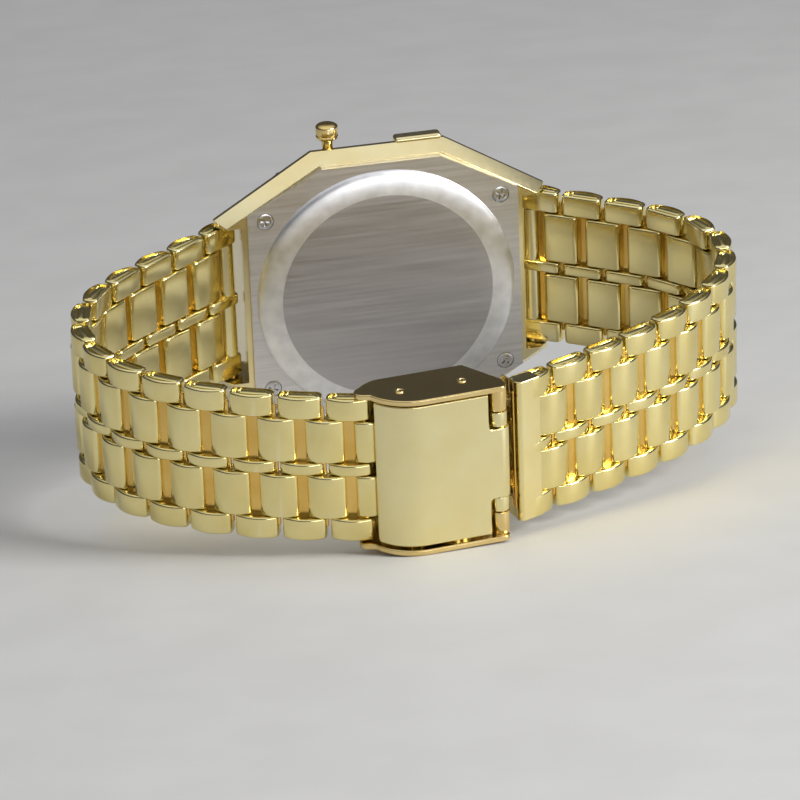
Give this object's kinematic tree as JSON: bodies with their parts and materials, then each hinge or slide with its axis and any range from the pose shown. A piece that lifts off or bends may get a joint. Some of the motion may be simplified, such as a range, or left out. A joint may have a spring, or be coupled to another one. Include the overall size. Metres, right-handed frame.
{
  "type": "digital wristwatch",
  "caption": "Octagonal digital wristwatch on a tapered folded-link bracelet with a sliding fold clasp and press buttons.",
  "frame": {"origin": "centre of the caseback disc's flat outer face, where the watch meets the wrist", "axes": "+X towards the 12 o'clock end of the case, +Y out through the display, +Z across the bracelet towards 3 o'clock"},
  "size_m": [0.0727, 0.0542, 0.0382],
  "materials": {
    "gold_case": "polished gold plating on the moulded case",
    "gold_pushers": "polished gold plating",
    "gold_links": "polished gold plating on folded steel sheet",
    "gold_clasp": "satin gold plating on pressed steel sheet",
    "steel_back": "brushed face with a polished bevel",
    "steel_screws": "polished",
    "bar_steel": "drawn wire",
    "battery_steel": "polished can",
    "clip_steel": "stamped strip",
    "gasket_rubber": "matt",
    "module_plastic": "moulded",
    "board_laminate": "solder mask",
    "display_glass": "dark display glass",
    "light_cover": "diffusing cover",
    "dial_print": "printed film",
    "crystal_clear": "clear"
  },
  "bodies": {
    "head": {"case_shell": "gold_case", "caseback": "steel_back", "caseback_screws": "steel_screws", "caseback_gasket": "gasket_rubber", "module_frame": "module_plastic", "circuit_board": "board_laminate", "battery": "battery_steel", "battery_clip": "clip_steel", "display_panel": "display_glass", "display_carrier": "module_plastic", "light_source": "light_cover", "dial_mask": "dial_print", "crystal": "crystal_clear", "crystal_gasket": "gasket_rubber", "lug_spring_bars": "bar_steel"},
    "left_link_01": {"left_link_01": "gold_links"},
    "left_link_02": {"left_link_02": "gold_links"},
    "left_link_03": {"left_link_03": "gold_links"},
    "left_link_04": {"left_link_04": "gold_links"},
    "left_link_05": {"left_link_05": "gold_links"},
    "left_link_06": {"left_link_06": "gold_links"},
    "left_link_07": {"left_link_07": "gold_links"},
    "left_link_08": {"left_link_08": "gold_links"},
    "left_link_09": {"left_link_09": "gold_links"},
    "left_link_10": {"left_link_10": "gold_links"},
    "left_link_11": {"left_link_11": "gold_links"},
    "left_link_12": {"left_link_12": "gold_links"},
    "left_link_13": {"left_link_13": "gold_links"},
    "left_link_14": {"left_link_14": "gold_links"},
    "right_link_01": {"right_link_01": "gold_links"},
    "right_link_02": {"right_link_02": "gold_links"},
    "right_link_03": {"right_link_03": "gold_links"},
    "right_link_04": {"right_link_04": "gold_links"},
    "right_link_05": {"right_link_05": "gold_links"},
    "right_link_06": {"right_link_06": "gold_links"},
    "right_link_07": {"right_link_07": "gold_links"},
    "right_link_08": {"right_link_08": "gold_links"},
    "right_link_09": {"right_link_09": "gold_links"},
    "right_link_10": {"right_link_10": "gold_links"},
    "right_link_11": {"right_link_11": "gold_links"},
    "right_link_12": {"right_link_12": "gold_links"},
    "right_link_13": {"right_link_13": "gold_links"},
    "clasp": {"clasp_body": "gold_clasp", "lock_pin": "bar_steel", "fold_pin": "bar_steel", "gripped_links": "gold_links"},
    "end_link": {"end_link": "gold_links"},
    "lock_plate": {"lock_plate": "gold_clasp"},
    "blade_outer": {"blade_outer": "gold_clasp", "blade_pin": "bar_steel"},
    "blade_inner": {"blade_inner": "gold_clasp", "clasp_spring_bar": "bar_steel"},
    "pusher_4_oclock": {"pusher_4_oclock": "gold_pushers"},
    "pusher_8_oclock": {"pusher_8_oclock": "gold_pushers"},
    "pusher_10_oclock": {"pusher_10_oclock": "gold_pushers"}
  },
  "joints": [
    {"name": "left_link_01_hinge", "type": "hinge", "parent": "head", "child": "left_link_01", "pos_m": [-0.01725, 0.0043, 0], "axis": [0, 0, -1], "range_deg": [0, 30]},
    {"name": "left_link_02_hinge", "type": "hinge", "parent": "left_link_01", "child": "left_link_02", "pos_m": [-0.02128, 0.00131, 0], "axis": [0, 0, -1], "range_deg": [0, 5.1]},
    {"name": "left_link_03_hinge", "type": "hinge", "parent": "left_link_02", "child": "left_link_03", "pos_m": [-0.02531, -0.00168, 0], "axis": [0, 0, -1], "range_deg": [0, 5.7]},
    {"name": "left_link_04_hinge", "type": "hinge", "parent": "left_link_03", "child": "left_link_04", "pos_m": [-0.02931, -0.00472, 0], "axis": [0, 0, -1], "range_deg": [0, 10.8]},
    {"name": "left_link_05_hinge", "type": "hinge", "parent": "left_link_04", "child": "left_link_05", "pos_m": [-0.03297, -0.00815, 0], "axis": [0, 0, -1], "range_deg": [0, 20.5]},
    {"name": "left_link_06_hinge", "type": "hinge", "parent": "left_link_05", "child": "left_link_06", "pos_m": [-0.03559, -0.01244, 0], "axis": [0, 0, -1], "range_deg": [0, 23.5]},
    {"name": "left_link_07_hinge", "type": "hinge", "parent": "left_link_06", "child": "left_link_07", "pos_m": [-0.03671, -0.01733, 0], "axis": [0, 0, -1], "range_deg": [0, 23.2]},
    {"name": "left_link_08_hinge", "type": "hinge", "parent": "left_link_07", "child": "left_link_08", "pos_m": [-0.03625, -0.02233, 0], "axis": [0, 0, -1], "range_deg": [0, 21.7]},
    {"name": "left_link_09_hinge", "type": "hinge", "parent": "left_link_08", "child": "left_link_09", "pos_m": [-0.03437, -0.02698, 0], "axis": [0, 0, -1], "range_deg": [0, 19.5]},
    {"name": "left_link_10_hinge", "type": "hinge", "parent": "left_link_09", "child": "left_link_10", "pos_m": [-0.03138, -0.03102, 0], "axis": [0, 0, -1], "range_deg": [0, 16.9]},
    {"name": "left_link_11_hinge", "type": "hinge", "parent": "left_link_10", "child": "left_link_11", "pos_m": [-0.02763, -0.03435, 0], "axis": [0, 0, -1], "range_deg": [0, 14.3]},
    {"name": "left_link_12_hinge", "type": "hinge", "parent": "left_link_11", "child": "left_link_12", "pos_m": [-0.02338, -0.03703, 0], "axis": [0, 0, -1], "range_deg": [0, 11.8]},
    {"name": "left_link_13_hinge", "type": "hinge", "parent": "left_link_12", "child": "left_link_13", "pos_m": [-0.01885, -0.03919, 0], "axis": [0, 0, -1], "range_deg": [0, 9.8]},
    {"name": "left_link_14_hinge", "type": "hinge", "parent": "left_link_13", "child": "left_link_14", "pos_m": [-0.01415, -0.04096, 0], "axis": [0, 0, -1], "range_deg": [0, 8.3]},
    {"name": "right_link_01_hinge", "type": "hinge", "parent": "head", "child": "right_link_01", "pos_m": [0.01725, 0.0043, 0], "axis": [0, 0, 1], "range_deg": [0, 30]},
    {"name": "right_link_02_hinge", "type": "hinge", "parent": "right_link_01", "child": "right_link_02", "pos_m": [0.02128, 0.00131, 0], "axis": [0, 0, 1], "range_deg": [0, 5.1]},
    {"name": "right_link_03_hinge", "type": "hinge", "parent": "right_link_02", "child": "right_link_03", "pos_m": [0.02531, -0.00169, 0], "axis": [0, 0, 1], "range_deg": [0, 6.7]},
    {"name": "right_link_04_hinge", "type": "hinge", "parent": "right_link_03", "child": "right_link_04", "pos_m": [0.02924, -0.00481, 0], "axis": [0, 0, 1], "range_deg": [0, 17.6]},
    {"name": "right_link_05_hinge", "type": "hinge", "parent": "right_link_04", "child": "right_link_05", "pos_m": [0.0324, -0.00871, 0], "axis": [0, 0, 1], "range_deg": [0, 27.8]},
    {"name": "right_link_06_hinge", "type": "hinge", "parent": "right_link_05", "child": "right_link_06", "pos_m": [0.03381, -0.01353, 0], "axis": [0, 0, 1], "range_deg": [0, 26.6]},
    {"name": "right_link_07_hinge", "type": "hinge", "parent": "right_link_06", "child": "right_link_07", "pos_m": [0.03334, -0.01852, 0], "axis": [0, 0, 1], "range_deg": [0, 22.9]},
    {"name": "right_link_08_hinge", "type": "hinge", "parent": "right_link_07", "child": "right_link_08", "pos_m": [0.03135, -0.02314, 0], "axis": [0, 0, 1], "range_deg": [0, 18.9]},
    {"name": "right_link_09_hinge", "type": "hinge", "parent": "right_link_08", "child": "right_link_09", "pos_m": [0.02832, -0.02713, 0], "axis": [0, 0, 1], "range_deg": [0, 15.1]},
    {"name": "right_link_10_hinge", "type": "hinge", "parent": "right_link_09", "child": "right_link_10", "pos_m": [0.02463, -0.03054, 0], "axis": [0, 0, 1], "range_deg": [0, 12]},
    {"name": "right_link_11_hinge", "type": "hinge", "parent": "right_link_10", "child": "right_link_11", "pos_m": [0.02055, -0.03346, 0], "axis": [0, 0, 1], "range_deg": [0, 9.7]},
    {"name": "right_link_12_hinge", "type": "hinge", "parent": "right_link_11", "child": "right_link_12", "pos_m": [0.01624, -0.03605, 0], "axis": [0, 0, 1], "range_deg": [0, 8]},
    {"name": "right_link_13_hinge", "type": "hinge", "parent": "right_link_12", "child": "right_link_13", "pos_m": [0.01181, -0.0384, 0], "axis": [0, 0, 1], "range_deg": [0, 7]},
    {"name": "clasp_hinge", "type": "hinge", "parent": "left_link_14", "child": "clasp", "pos_m": [-0.01176, -0.04171, 0], "axis": [0, 0, -1], "range_deg": [0, 28.4]},
    {"name": "end_link_hinge", "type": "hinge", "parent": "right_link_13", "child": "end_link", "pos_m": [0.0073, -0.0406, 0], "axis": [0, 0, 1], "range_deg": [0, 5.5]},
    {"name": "lock_plate_hinge", "type": "hinge", "parent": "clasp", "child": "lock_plate", "pos_m": [0.00203, -0.04373, 0], "axis": [0, 0, 1], "range_deg": [0, 100]},
    {"name": "clasp_fold", "type": "hinge", "parent": "clasp", "child": "blade_outer", "pos_m": [0.00109, -0.0386, 0], "axis": [0, 0, -1], "range_deg": [0, 100]},
    {"name": "blade_fold", "type": "hinge", "parent": "blade_outer", "child": "blade_inner", "pos_m": [-0.01106, -0.03885, 0], "axis": [0, 0, -1], "range_deg": [-100, 0]},
    {"name": "pusher_4_oclock_press", "type": "slide", "parent": "head", "child": "pusher_4_oclock", "axis": [0, 0, -1], "range_m": [0, 0.0007], "stiffness_N_per_m": 400, "springref_m": -0.0012},
    {"name": "pusher_8_oclock_press", "type": "slide", "parent": "head", "child": "pusher_8_oclock", "axis": [0, 0, 1], "range_m": [0, 0.0007], "stiffness_N_per_m": 400, "springref_m": -0.0012},
    {"name": "pusher_10_oclock_press", "type": "slide", "parent": "head", "child": "pusher_10_oclock", "axis": [0, 0, 1], "range_m": [0, 0.0007], "stiffness_N_per_m": 400, "springref_m": -0.0012}
  ],
  "couplings": [
    {"joint": "blade_fold", "follows": "clasp_fold", "ratio": -1}
  ]
}
